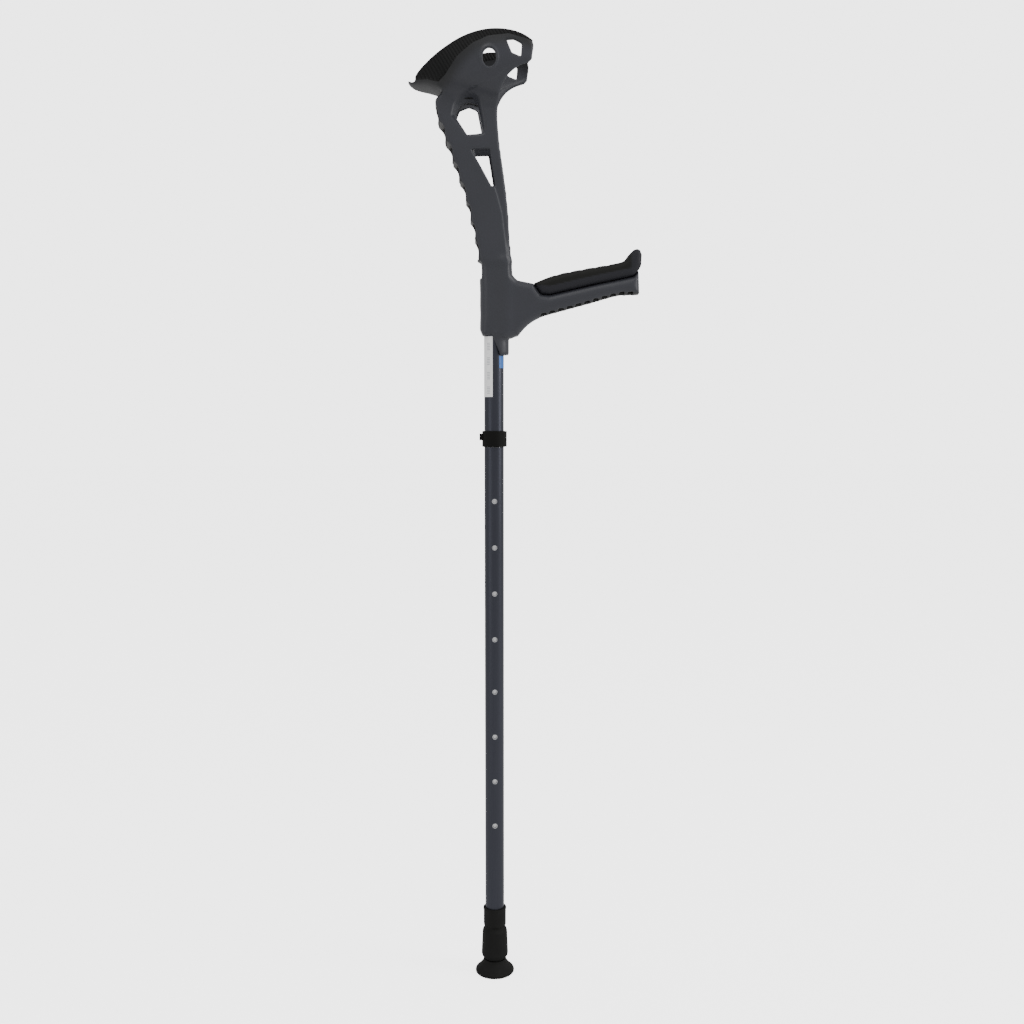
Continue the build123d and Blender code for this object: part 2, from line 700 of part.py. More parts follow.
with BuildPart() as foot_disc:
    with BuildSketch(Plane.XZ):
        with BuildLine():
            neck = ball_z - sqrt(dish_r ** 2 - neck_r ** 2)
            Polyline((0, 0), (foot_r, 0), (foot_r, 3), (19.5, 6.0), (14.2, 12.5), (neck_r, neck),
                     (core_r, neck), (core_r, core_bottom), (0, core_bottom), close=True)
        make_face()
    revolve(axis=Axis.Z)
    with Locations((0, 0, ball_z)):
        Sphere(dish_r, mode=Mode.SUBTRACT)
    # round grooves of the tread
    for groove_r in tread_radii:
        with BuildSketch(Plane.XY):
            Circle(groove_r + tread_half)
            Circle(groove_r - tread_half, mode=Mode.SUBTRACT)
        extrude(amount=tread_depth, mode=Mode.SUBTRACT)
foot_disc.part.label = "foot_disc"
export_step(foot_disc.part, "parts/foot_disc.step")
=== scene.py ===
import math

import bmesh
import bpy
import numpy as np
import openvdb
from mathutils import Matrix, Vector


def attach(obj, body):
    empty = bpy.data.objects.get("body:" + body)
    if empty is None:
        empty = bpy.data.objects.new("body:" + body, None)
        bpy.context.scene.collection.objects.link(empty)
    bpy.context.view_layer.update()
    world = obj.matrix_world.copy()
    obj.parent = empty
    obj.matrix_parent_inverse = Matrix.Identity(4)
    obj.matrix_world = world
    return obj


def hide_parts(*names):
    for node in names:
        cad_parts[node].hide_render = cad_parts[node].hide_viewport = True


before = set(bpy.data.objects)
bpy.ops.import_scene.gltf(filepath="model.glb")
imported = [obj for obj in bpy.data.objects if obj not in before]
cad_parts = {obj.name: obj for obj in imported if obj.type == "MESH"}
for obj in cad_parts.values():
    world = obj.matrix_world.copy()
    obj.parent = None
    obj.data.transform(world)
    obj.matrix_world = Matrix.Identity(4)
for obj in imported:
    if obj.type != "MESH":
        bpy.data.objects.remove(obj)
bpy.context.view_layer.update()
print("frame loaded")


def newObject(name, mesh):
    made = bpy.data.objects.new(name, mesh)
    bpy.context.scene.collection.objects.link(made)
    return made


def nodeGroup(name, inputs, outputs):
    group = bpy.data.node_groups.new(name, "ShaderNodeTree")
    for label, value in inputs.items():
        kind = "NodeSocketColor" if isinstance(value, tuple) else "NodeSocketFloat"
        socket = group.interface.new_socket(name=label, in_out="INPUT", socket_type=kind)
        socket.default_value = value
    for label, kind in outputs.items():
        group.interface.new_socket(name=label, in_out="OUTPUT", socket_type=kind)
    return group, group.nodes.new("NodeGroupInput"), group.nodes.new("NodeGroupOutput")


def link(tree, source, target):
    tree.links.new(source, target)


def mathNode(tree, operation, first, second=0.0, third=0.0, clamp=False):
    node = tree.nodes.new("ShaderNodeMath")
    node.operation = operation
    node.use_clamp = clamp
    for socket, value in zip(node.inputs, (first, second, third)):
        if isinstance(value, (int, float)):
            socket.default_value = value
        else:
            link(tree, value, socket)
    return node.outputs[0]


def noiseNode(tree, coordinates, scale, detail, roughness=0.55):
    node = tree.nodes.new("ShaderNodeTexNoise")
    link(tree, coordinates, node.inputs["Vector"])
    for label, value in (("Scale", scale), ("Detail", detail), ("Roughness", roughness)):
        if isinstance(value, (int, float)):
            node.inputs[label].default_value = value
        else:
            link(tree, value, node.inputs[label])
    return node.outputs["Fac"]


def mixColour(tree, factor, low, high, blend="MIX"):
    node = tree.nodes.new("ShaderNodeMix")
    node.data_type = "RGBA"
    node.blend_type = blend
    for socket, value in ((node.inputs[0], factor), (node.inputs[6], low), (node.inputs[7], high)):
        if isinstance(value, (int, float, tuple)):
            socket.default_value = value
        else:
            link(tree, value, socket)
    return node.outputs[2]


def ramp(tree, value, low, high):
    node = tree.nodes.new("ShaderNodeMapRange")
    node.inputs["From Min"].default_value = low
    node.inputs["From Max"].default_value = high
    link(tree, value, node.inputs["Value"])
    return node.outputs["Result"]


def surfaceGrainGroup():
    # fine spark-eroded mould grain, slow colour drift and handling marks
    values = {"slowScale": 14.0, "markScale": 65.0, "markRange": (0.56, 0.72), "fineDepth": 0.25,
              "wornLift": (1.35, 1.35, 1.35, 1), "wornPolish": 0.3}
    group, given, gives = nodeGroup(
        "surfaceGrain",
        {"Colour": (0.1, 0.1, 0.1, 1), "Drift": 0.15, "Grain Scale": 900.0, "Roughness": 0.5,
         "Wear": 0.2},
        {"Colour": "NodeSocketColor", "Roughness": "NodeSocketFloat", "Height": "NodeSocketFloat"})
    where = group.nodes.new("ShaderNodeTexCoord").outputs["Object"]
    slow = noiseNode(group, where, values["slowScale"], 2.0)
    fine = noiseNode(group, where, given.outputs["Grain Scale"], 2.0, 0.5)
    marks = ramp(group, noiseNode(group, where, values["markScale"], 6.0, 0.7), *values["markRange"])
    centred = mathNode(group, "SUBTRACT", slow, 0.5)
    driftAmount = mathNode(group, "MULTIPLY", centred, given.outputs["Drift"])
    fineAmount = mathNode(group, "MULTIPLY", mathNode(group, "SUBTRACT", fine, 0.5), values["fineDepth"])
    level = mathNode(group, "ADD", mathNode(group, "ADD", driftAmount, fineAmount), 1.0)
    grey = group.nodes.new("ShaderNodeCombineColor")
    for socket in grey.inputs[:3]:
        link(group, level, socket)
    tinted = mixColour(group, 1.0, given.outputs["Colour"], grey.outputs[0], "MULTIPLY")
    worn = mixColour(group, 1.0, tinted, values["wornLift"], "MULTIPLY")
    wearAmount = mathNode(group, "MULTIPLY", marks, given.outputs["Wear"])
    link(group, mixColour(group, wearAmount, tinted, worn), gives.inputs["Colour"])
    rougher = mathNode(group, "MULTIPLY", mathNode(group, "SUBTRACT", slow, 0.45), 0.25)
    rough = mathNode(group, "ADD", given.outputs["Roughness"], rougher)
    polish = mathNode(group, "MULTIPLY", wearAmount, values["wornPolish"])
    link(group, mathNode(group, "SUBTRACT", rough, polish, 0, True), gives.inputs["Roughness"])
    link(group, fine, gives.inputs["Height"])
    return group


grainGroup = surfaceGrainGroup()


def material(name):
    made = bpy.data.materials.new(name)
    made.use_nodes = True
    made.node_tree.nodes.clear()
    tree = made.node_tree
    shader = tree.nodes.new("ShaderNodeBsdfPrincipled")
    out = tree.nodes.new("ShaderNodeOutputMaterial")
    link(tree, shader.outputs["BSDF"], out.inputs["Surface"])
    return made, tree, shader


def addBump(tree, shader, height, distance, strength=1.0):
    bump = tree.nodes.new("ShaderNodeBump")
    bump.inputs["Strength"].default_value = strength
    bump.inputs["Distance"].default_value = distance
    link(tree, height, bump.inputs["Height"])
    link(tree, bump.outputs["Normal"], shader.inputs["Normal"])


def grainMaterial(name, look):
    # moulded plastic or rubber, darker by the mesh's shade attribute and ribbed if asked, with painted
    # shade in the rib valleys
    made, tree, shader = material(name)
    grain = tree.nodes.new("ShaderNodeGroup")
    grain.node_tree = grainGroup
    grain.inputs["Colour"].default_value = (*look["colour"], 1)
    grain.inputs["Drift"].default_value = look.get("drift", 0.2)
    grain.inputs["Grain Scale"].default_value = look.get("grainScale", 900.0)
    grain.inputs["Roughness"].default_value = look["roughness"]
    grain.inputs["Wear"].default_value = look.get("wear", 0.3)
    link(tree, grain.outputs["Colour"], shader.inputs["Base Color"])
    link(tree, grain.outputs["Roughness"], shader.inputs["Roughness"])
    addBump(tree, shader, grain.outputs["Height"], look.get("grainDepth", 0.0001), look.get("bump", 0.4))
    shader.inputs["Specular IOR Level"].default_value = look.get("specular", 0.5)
    if "shadeColour" in look:
        shade = tree.nodes.new("ShaderNodeAttribute")
        shade.attribute_name = "shade"
        shadeColour = (*look["shadeColour"], 1)
        darker = mixColour(tree, shade.outputs["Fac"], grain.outputs["Colour"], shadeColour)
        link(tree, darker, shader.inputs["Base Color"])
    if "ribs" in look:
        where = tree.nodes.new("ShaderNodeTexCoord").outputs["Object"]
        run = tree.nodes.new("ShaderNodeVectorMath")
        run.operation = "DOT_PRODUCT"
        run.inputs[1].default_value = look["ribs"]["along"]
        link(tree, where, run.inputs[0])
        wave = mathNode(tree, "ABSOLUTE", mathNode(tree, "SINE", mathNode(
            tree, "MULTIPLY", run.outputs["Value"], math.pi / look["ribs"]["pitch"])))
        height = mathNode(tree, "ADD", wave, mathNode(tree, "MULTIPLY", grain.outputs["Height"], 0.15))
        addBump(tree, shader, height, look["ribs"]["depth"])
        # painted shade: the valleys between the ribs are coloured darker, as if in shadow
        valleyShade = tuple(v * 0.35 for v in look["colour"]) + (1,)
        ribsWithShade = mixColour(tree, wave, valleyShade, grain.outputs["Colour"])
        link(tree, ribsWithShade, shader.inputs["Base Color"])
    return made


def paint(piece, *materials):
    piece.data.materials.clear()
    for made in materials:
        piece.data.materials.append(made)


handlePlastic = grainMaterial("handlePlastic", {
    "colour": (0.030, 0.031, 0.038), "shadeColour": (0.006, 0.006, 0.006), "specular": 0.36,
    "roughness": 0.42, "drift": 0.16, "grainScale": 1100.0, "grainDepth": 0.00012, "bump": 0.35,
    "wear": 0.25})
cuffRubber = grainMaterial("cuffRubber", {
    "colour": (0.008, 0.008, 0.008), "roughness": 0.7, "drift": 0.2, "grainScale": 700.0,
    "grainDepth": 0.0002, "bump": 0.5, "wear": 0.3, "specular": 0.2,
    "ribs": {"along": (0.83, 0.0, 0.55), "pitch": 0.0032, "depth": 0.0006}})
gripRubber = grainMaterial("gripRubber", {
    "colour": (0.016, 0.016, 0.020), "shadeColour": (0.005, 0.005, 0.004), "specular": 0.22,
    "roughness": 0.6, "drift": 0.2, "grainScale": 800.0, "grainDepth": 0.0002, "bump": 0.5, "wear": 0.3})
footRubber = grainMaterial("footRubber", {
    "colour": (0.0105, 0.0105, 0.010), "roughness": 0.75, "drift": 0.8, "grainScale": 160.0,
    "grainDepth": 0.0004, "bump": 0.7, "wear": 0.5, "specular": 0.12})
clipPlastic = grainMaterial("clipPlastic", {
    "colour": (0.005, 0.005, 0.0045), "roughness": 0.55, "drift": 0.3, "grainScale": 1200.0, "wear": 0.3,
    "specular": 0.1})
innerNylon = grainMaterial("innerNylon", {
    "colour": (0.55, 0.54, 0.50), "roughness": 0.5, "drift": 0.1, "grainScale": 900.0, "wear": 0.2})


def brushedMetal(name, look):
    # fine lines drawn out along the tube's axis, with slow dull patches
    made, tree, shader = material(name)
    where = tree.nodes.new("ShaderNodeTexCoord").outputs["Object"]
    stretch = tree.nodes.new("ShaderNodeMapping")
    stretch.inputs["Scale"].default_value = look["stretch"]
    link(tree, where, stretch.inputs["Vector"])
    lines = noiseNode(tree, stretch.outputs[0], look["lineScale"], 3.0)
    dull = mathNode(tree, "MULTIPLY", noiseNode(tree, where, look["dullScale"], 4.0), look["dullSpread"])
    dark = tuple(v * 0.85 for v in look["colour"])  # in the drawn lines
    link(tree, mixColour(tree, lines, (*dark, 1), (*look["colour"], 1)), shader.inputs["Base Color"])
    link(tree, mathNode(tree, "ADD", dull, look["roughness"]), shader.inputs["Roughness"])
    shader.inputs["Metallic"].default_value = 1.0
    addBump(tree, shader, lines, 0.00004, 0.3)
    return made


plainSteel = brushedMetal("plainSteel", {
    "colour": (0.42, 0.42, 0.43), "roughness": 0.26, "dullSpread": 0.18, "dullScale": 30.0,
    "lineScale": 1500.0, "stretch": (1, 1, 0.02)})
print("materials made")


def curvePoints(points, steps=6):
    # smooth curve through the points, sampled finely
    ends = [points[0]] + list(points) + [points[-1]]
    made = []
    for before, start, stop, after in zip(ends, ends[1:], ends[2:], ends[3:]):
        for step in range(steps):
            t = step / steps
            made.append(tuple(0.5 * (2 * b + (c - a) * t + (2 * a - 5 * b + 4 * c - d) * t ** 2
                                     + (3 * b - a - 3 * c + d) * t ** 3)
                              for a, b, c, d in zip(before, start, stop, after)))
    return made + [points[-1]]


class Space:
    # regular grid of points over a box, with the voxel's size
    def __init__(self, low, high, voxel):
        self.low, self.voxel = low, voxel
        sides = [np.arange(a, b, voxel, dtype=np.float32) for a, b in zip(low, high)]
        self.x, self.y, self.z = np.meshgrid(*sides, indexing="ij", sparse=True)

    def outline(self, points, across=None):
        # signed distance from a closed outline in the X, Z plane, or of radius against Z
        nearest, inside = None, None
        across = self.x if across is None else across
        for (x0, z0), (x1, z1) in zip(points, points[1:] + points[:1]):
            dx, dz = x1 - x0, z1 - z0
            length = dx * dx + dz * dz
            if length == 0:
                continue
            t = np.clip(((across - x0) * dx + (self.z - z0) * dz) / length, 0, 1)
            gap = np.hypot(across - x0 - t * dx, self.z - z0 - t * dz)
            crossing = x0 + dx * (self.z - z0) / (dz if dz else 1)
            crossed = ((z0 > self.z) != (z1 > self.z)) & (across < crossing)
            nearest = gap if nearest is None else np.minimum(nearest, gap)
            inside = crossed if inside is None else inside ^ crossed
        return np.where(inside, -nearest, nearest)


def softMax(first, second, ease):
    # larger of two distances, rounded over where they meet
    edge = np.maximum(ease - np.abs(first - second), 0) / ease
    return np.maximum(first, second) + edge * edge * ease / 4


def softMin(first, second, ease):
    return -softMax(-first, -second, ease)


def smoothStep(value, low, high):
    t = np.clip((value - low) / (high - low), 0, 1)
    return t * t * (3 - 2 * t)


def ovalDistance(across, along, radii):
    # close to the true distance from an oval, near its surface
    reach = np.sqrt((across / radii[0]) ** 2 + (along / radii[1]) ** 2) + 1e-6
    steep = np.sqrt(across ** 2 / radii[0] ** 4 + along ** 2 / radii[1] ** 4) + 1e-9
    return (reach - 1) * reach / steep


def skinOf(name, space, field, shade=None):
    # closed skin of the field in metres, with a shade attribute for hollows and fading edges
    grid = openvdb.FloatGrid()
    grid.copyFromArray(np.ascontiguousarray(np.clip(field, -4, 4), dtype=np.float64))
    points, triangles, quads = grid.convertToPolygons()
    mesh = bpy.data.meshes.new(name)
    places = (points * space.voxel + np.array(space.low)) * 0.001
    mesh.from_pydata(places, [], quads.tolist() + triangles.tolist())
    work = bmesh.new()
    work.from_mesh(mesh)
    bmesh.ops.recalc_face_normals(work, faces=work.faces)
    for face in work.faces:
        face.smooth = True
    work.to_mesh(mesh)
    work.free()
    if shade is not None:
        last = np.array(shade.shape)[:, None] - 1
        steps = tuple(np.clip(np.round(points.T).astype(int), 0, last))  # nearest voxel
        dark = mesh.attributes.new("shade", "FLOAT", "POINT")
        dark.data.foreach_set("value", shade[steps].astype(np.float32))
    return newObject(name, mesh)


handle = {
    "box": ((-98, -48, 716), (170, 48, 1066)), "voxel": 1.25, "wall": 3.5, "mastHalf": 20.0,
    "socketRadii": (19.5, 15.3), "bore": 11.03, "boreTop": 836.0,
    "socketEnd": (815, 900), "socketFree": 140.0,  # the socket's oval lets go between these heights
    "halfWidths": [(742, 14.5), (800, 14.7), (850, 15), (900, 17), (940, 20), (965, 22.5),
                   (985, 27), (1000, 32.5), (1012, 37.5), (1025, 41.5), (1038, 43), (1050, 42.5),
                   (1068, 40)],
    "cuffLean": 30.0, "cuffCentre": (-24.0, 1030.0), "cuffShift": 14.0, "cuffRadii": (82.0, 50.0),
    "bowlFoot": (-57.5, 1002.0), "bowlSlope": 13.0, "bowlRadii": (46.0, 40.0),
    "slabBack": ((995, 1002), (67, 57)), "slabTop": 1008.0,  # how far back the slab reaches, by height
    "roundingHeights": [743, 765, 790, 850, 1000, 1012], "rounding": [4, 12, 13, 6, 5, 2.5],
    "rim": [(-86, 1016), (-80, 1022), (-58.5, 1037.8), (-37.5, 1051.4), (-18, 1059.2), (0, 1062),
            (16.5, 1060.8), (30, 1056.8), (40, 1051.5)],
    "rimCaps": [(-86, 2.5), (-80, 3), (-58, 3), (-37, 2.5), (-18, 1.5), (0, 1), (40, 1)],
    "tip": [(-92, 1011), (-95, 1016), (-94.5, 1017), (-93.5, 1017), (-89, 1013.8)],
    "frontEdge": [(41.5, 1045), (39.5, 1030.5)],
    "front": [(36, 1027), (25, 1023), (15.5, 1016), (9.5, 1007), (6, 996), (4.5, 984), (4.5, 972),
              (6.5, 948), (9.5, 928), (15, 889), (18, 850), (18.5, 825)],
    "back": [(18.5, 742), (-12.5, 742), (-16, 749), (-18, 775), (-18, 818), (-21, 845),
             (-32.5, 893), (-49, 940), (-65, 983), (-64, 994), (-57.5, 1003), (-72.5, 1008),
             (-88, 1009.5)],
    "saddle": [(-100, 1013.5), (-78, 1012), (-62, 1006), (-51, 994), (-44, 978), (-33, 957),
               (-22, 938), (-6, 903), (4, 875), (8, 852), (14, 840), (70, 840)],
    "channel": [(-60, 1000), (-57, 988), (-50, 978), (-38, 955), (-27, 936), (-11, 901), (-9, 880),
                (-13.5, 850), (-13.5, 824)],
    "windows": [[(-41.5, 976), (-37, 988), (-27, 992), (-18, 989), (-12, 959.5), (-29.5, 957)],
                [(-24.5, 941), (-5.5, 942), (0.5, 903.5), (-3, 903.5)],
                [(13, 1048.5), (20, 1049), (28, 1045), (27, 1033), (18, 1036.5)]],
    "arch": [(-49, 976), (-44, 993), (-31, 1000), (-18, 998), (-12, 986), (-10, 958), (-29.5, 955)],
    "archDepth": 7.0,
    "crease": [(-1, 906), (3, 893), (8, 875), (11.5, 848), (17, 806)],
    "stripDepth": 1.3, "stripStart": (800, 830), "stripEnd": (905, 935),
    "wingEdge": [(-70, 986), (-44, 995), (4, 1013), (12, 1021), (30, 1029), (60, 1040)],
    "wingProud": 0.8,
    "port": (-6.0, 1031.0), "portRadii": (7.2, 9.2), "portRing": (9.8, 12.4), "portProud": 1.3,
    "portInner": 30.0,
    "pocketCount": 9, "pocketFirst": 981.0, "pocketPitch": 20.86, "ribHalf": 1.3, "pocketBack": -110.0,
    "scallopRadius": 12.0, "scallopDepth": 2.9,
    "gripHalf": 14.5, "gripTop": [(17, 822), (19, 808), (26, 803), (44, 799.5)],
    "gripUnder": [(162.5, 788.5), (150, 787.5), (137, 786.5), (107, 778), (74, 769), (52, 762.5),
                  (38, 754), (27, 742)],
    "padSeam": [(161.5, 815), (155, 808), (110, 798.5), (61, 787), (52, 788)],
    "notchCount": 11, "notchFirst": 55.0, "notchPitch": 9.7, "notchLength": 6.0, "notchDepth": 2.6,
    "notchWeb": 1.5, "hollowDepth": 15.0, "hollowHalf": 10.5,
    "tongueRadii": (17.0, 14.0),
    "tongue": [(-1.5, 746), (-1.5, 739), (5, 724), (6, 720.5), (18, 720.5), (18, 746)]}


def lineAt(points, height):
    # X of a side line at a height
    order = sorted((z, x) for x, z in points)
    return float(np.interp(height, [z for z, x in order], [x for z, x in order]))


def above(space, points):
    # height over a line given as X, Z points
    return space.z - np.interp(space.x, [x for x, z in points], [z for x, z in points])


def outerSkin(space, inset):
    # cuff's leaning oval with its round underside, eased into the slab of the brace
    heights, halves = zip(*curvePoints(handle["halfWidths"]))
    side = np.abs(space.y) - np.interp(space.z, heights, halves) + inset
    lean, slope = math.radians(handle["cuffLean"]), math.radians(handle["bowlSlope"])
    dx, dz = space.x - handle["cuffCentre"][0], space.z - handle["cuffCentre"][1]
    leanX = dx * math.cos(lean) + dz * math.sin(lean) - handle["cuffShift"]
    oval = ovalDistance(leanX, space.y, [radius - inset for radius in handle["cuffRadii"]])
    dx, dz = space.x - handle["bowlFoot"][0], space.z - handle["bowlFoot"][1]
    up = np.minimum(dx * math.sin(slope) + dz * math.cos(slope) - handle["bowlRadii"][1], 0)
    bowl = ovalDistance(space.y, up, [radius - inset for radius in handle["bowlRadii"]])
    slab = np.abs(space.y) - handle["mastHalf"] + inset
    slabBack = -np.interp(space.z, *handle["slabBack"]) - space.x
    slab = softMax(slab, softMax(space.z - handle["slabTop"], slabBack, 4.0), 6.0)
    return softMax(side, softMin(softMax(oval, bowl, 6.0), slab, 9.0), 3.0)


def armSpace(space, inset, thickness, floorShift):
    # open trough for the forearm, down the front of the brace
    outline = [(x + floorShift, z) for x, z in handle["saddle"]] + [(70, 1075), (-100, 1075)]
    return softMax(space.outline(outline), outerSkin(space, inset + thickness), 3.0)


def sideOutline(space):
    capAt, caps = zip(*handle["rimCaps"])
    rimUnder = [(x, z - float(np.interp(x, capAt, caps))) for x, z in curvePoints(handle["rim"])]
    front = handle["frontEdge"] + curvePoints(handle["front"])
    return space.outline(rimUnder + front + handle["back"] + handle["tip"])


def outerInset(space):
    # how far the outer skin is drawn in: the arch's scoop, the front strip's step and the proud wing
    scoop = handle["archDepth"] * smoothStep(-space.outline(curvePoints(handle["arch"])), 0, 9)
    creaseX, creaseZ = zip(*handle["crease"][::-1])
    strip = smoothStep(space.x - np.interp(space.z, creaseZ, creaseX), -0.8, 1.2)
    low, high = handle["stripEnd"]
    strip = strip * smoothStep(space.z, *handle["stripStart"]) * smoothStep(-space.z, -high, -low)
    wing = smoothStep(above(space, handle["wingEdge"]), -0.6, 1.0) * smoothStep(space.x, -60, -40)
    return scoop + strip * handle["stripDepth"] - wing * handle["wingProud"]


def cutBackChannel(space, body):
    # pockets between the cross ribs down the back, and the scallops in their edges
    for k in range(handle["pocketCount"]):
        height = handle["pocketFirst"] - handle["pocketPitch"] * k
        half = handle["pocketPitch"] / 2 - handle["ribHalf"]
        back, top, low = handle["pocketBack"], height + half, height - half
        pocket = space.outline([(back, top), (lineAt(handle["channel"], top), top),
                                (lineAt(handle["channel"], low), low), (back, low)])
        brace = min(handle["mastHalf"], float(np.interp(height, *zip(*handle["halfWidths"]))))
        pocket = softMax(pocket, np.abs(space.y) - brace + handle["wall"], 2.0)
        body = softMax(body, -pocket, 0.8)
        middle = lineAt(handle["back"][2:10], height) - handle["scallopRadius"] + handle["scallopDepth"]
        scallop = handle["scallopRadius"] - np.hypot(space.x - middle, space.z - height)
        body = softMax(body, scallop, 1.2)
    return body


def cutGripNotches(space, body):
    # open pockets under the grip, each side of its middle web
    underX, underZ = zip(*sorted(handle["gripUnder"]))
    for k in range(handle["notchCount"]):
        middle = handle["notchFirst"] + handle["notchPitch"] * k
        depth = space.z - float(np.interp(middle, underX, underZ))
        gap = np.maximum(np.abs(space.x - middle) - handle["notchLength"] / 2,
                         handle["notchWeb"] - np.abs(space.y))
        notch = softMax(gap, depth - handle["notchDepth"], 1.0)
        hollow = softMax(depth - handle["hollowDepth"], np.abs(space.y) - handle["hollowHalf"], 1.5)
        body = softMax(softMax(body, -notch, 0.8), -softMax(gap, hollow, 1.0), 0.8)
    return body


def handleField(space):
    inset = outerInset(space)
    ease = np.interp(space.z, handle["roundingHeights"], handle["rounding"])
    socket = ovalDistance(space.x, space.y, handle["socketRadii"])
    socket = socket - handle["socketFree"] * smoothStep(space.z, *handle["socketEnd"])
    skin = softMax(outerSkin(space, inset), socket, 5.0)
    body = softMax(sideOutline(space), skin, ease)
    dx, dz = space.x - handle["port"][0], space.z - handle["port"][1]
    ring = softMax(skin - handle["portProud"], ovalDistance(dx, dz, handle["portRing"]), 1.5)
    body = softMin(body, softMax(ring, handle["portInner"] - np.abs(space.y), 1.0), 1.0)
    body = softMax(body, -armSpace(space, inset, handle["wall"], handle["wall"]), 1.5)
    body = softMax(body, -ovalDistance(dx, dz, handle["portRadii"]), 1.2)
    for window in handle["windows"]:
        body = softMax(body, -space.outline(window), 2.2)
    under = curvePoints(handle["gripUnder"]) + [(10, 742), (10, 822)]
    grip = space.outline(handle["gripTop"] + handle["padSeam"][::-1] + under)
    grip = softMax(grip, np.abs(space.y) - handle["gripHalf"], 10.0)
    body = cutGripNotches(space, cutBackChannel(space, softMin(body, grip, 12.0)))
    tongue = ovalDistance(space.x, space.y, handle["tongueRadii"])
    body = softMin(body, softMax(tongue, space.outline(handle["tongue"]), 2.5), 2.0)
    bore = np.maximum(np.hypot(space.x, space.y) - handle["bore"], space.z - handle["boreTop"])
    return softMax(body, -bore, 0.8)


cuffPad = {
    "box": ((-98, -48, 996), (46, 48, 1066)), "voxel": 1.1, "thick": 2.0, "proud": 1.2, "overlap": 0.4,
    "below": [(70, 1050), (70, 900), (-120, 900), (-120, 1009), (-92, 1013)],  # all under the rim
    "band": [(41, 1049), (35.5, 1049.5), (14.5, 1055), (-6.5, 1052), (-22.5, 1045), (-38.5, 1032),
             (-52, 1015), (-60, 1009.5), (-72, 1012), (-84, 1013)],
    "lining": [(-100, 1008), (-62, 1003), (-52, 997), (-38, 994), (-15, 994), (-15, 1070),
               (-100, 1070)]}


def cuffPadField(space):
    # outer band along the rim and the lining inside the wings, in one piece
    rim, wall = curvePoints(handle["rim"]), handle["wall"]
    band = softMax(space.outline(rim + cuffPad["band"]), outerSkin(space, -cuffPad["proud"]), 2.0)
    reach = wall - cuffPad["overlap"]
    lining = softMax(armSpace(space, 0, reach, reach), space.outline(cuffPad["lining"]), 1.5)
    thick = cuffPad["thick"] * smoothStep(-space.x, 14, 20)
    inside = armSpace(space, thick, wall, wall + cuffPad["thick"])
    pad = softMax(softMin(band, lining, 1.0), -inside, 1.5)
    return softMax(pad, space.outline(rim + cuffPad["below"]), 2.0)


gripPad = {
    "box": ((40, -19, 780), (172, 19, 846)), "voxel": 0.9, "half": 15.5,
    "top": [(44, 799.5), (68, 808.7), (100, 815.5), (134, 821.5), (145, 825), (151, 832)],
    "lip": [(155, 836.5), (159, 838), (162.5, 836.5), (164.5, 831.5), (164, 820)],
    "ribPitch": 14.0, "ribDepth": 0.7, "endLift": 9}


def gripPadField(space):
    # waves for the fingers along the top, between the plain front and the raised end stop
    outline = space.outline(curvePoints(gripPad["top"]) + gripPad["lip"] + handle["padSeam"])
    waves = np.abs(np.sin(math.pi * space.x / gripPad["ribPitch"])) ** 0.7
    onTop = smoothStep(space.x, 50, 62) * smoothStep(-space.x, -140, -128)
    top = above(space, curvePoints(gripPad["top"])) + onTop * gripPad["ribDepth"] * (1 - waves)
    outline = np.maximum(outline, top - gripPad["endLift"] * (1 - onTop))
    return softMax(outline, np.abs(space.y) - gripPad["half"], 8.0)


def handleShade(space):
    # dark where the pockets and notches go in, and fading away from the soft rim
    across = np.abs(space.y)
    fade = 1 - smoothStep(space.outline(curvePoints(handle["rim"]) + cuffPad["band"]), 0, 15)
    channel = [(x - 1.5, z) for x, z in handle["channel"]] + [(-40, 800), (-130, 800), (-130, 1000)]
    brace = np.minimum(np.interp(space.z, *zip(*handle["halfWidths"])), handle["mastHalf"])
    hollow = smoothStep(-space.outline(channel), -1, 1.5) * smoothStep(brace - 1.2 - across, 0, 1.5)
    depth = above(space, sorted(handle["gripUnder"]))
    notch = smoothStep(14.0 - depth, 0, 2) * smoothStep(11.5 - across, 0, 1.5)
    notch = notch * smoothStep(space.x, 49, 52)
    dark = np.maximum(hollow, notch)  # covers the whole grid, so the fade spreads across it too
    return np.clip(np.maximum(0.8 * fade, dark), 0, 1)


def gripShade(space):
    # painted shade: the pad's side darker above its smooth lower band, where it rounds over toward the
    # top
    overSeam = above(space, sorted(handle["padSeam"]))
    return smoothStep(overSeam, 8, 10) * smoothStep(-space.x, -154, -150)


def fieldPiece(name, values, field, body, node, made, shade=None):
    # one skin from its field, riding on a body in place of a CAD node
    space = Space(*values["box"], values["voxel"])
    piece = skinOf(name, space, field(space), None if shade is None else shade(space))
    paint(piece, made)
    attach(piece, body)
    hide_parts(node)
    print(name, "made,", len(piece.data.polygons), "faces")
    return piece


fieldPiece("handleBody", handle, handleField, "handle", "handle_frame",
           handlePlastic, handleShade)
lining = fieldPiece("cuffLining", cuffPad, cuffPadField, "handle", "cuff_pad",
                    cuffRubber)
cushion = fieldPiece("gripCushion", gripPad, gripPadField, "handle", "grip_pad",
                     gripRubber, gripShade)

ferrule = {
    "box": ((-16.5, -16.5, 11), (16.5, 16.5, 81)), "voxel": 0.6, "bore": 11.0, "boreFloor": 20.2,
    "facets": 10, "facetDepth": 0.35, "facetLow": (23, 28), "facetHigh": (48, 52),
    "notches": 8, "notchDepth": 1.2, "grooveHeight": 56.8, "grooveHalf": 1.6, "neckRadius": 13.1,
    "outline": [(10.6, 20.2), (8.8, 20.2), (7.6, 13.7), (10.5, 15.4), (13.2, 17.9), (14.9, 20.1),
                (15.6, 22.4), (15.3, 30), (14.5, 49.5), (13.9, 51.8), (12.9, 53.2), (11.9, 54.4),
                (11.9, 56.2), (13.1, 57.4), (13.1, 75.5), (13.5, 76.3), (13.5, 78.2), (12.8, 79),
                (10.6, 79)]}


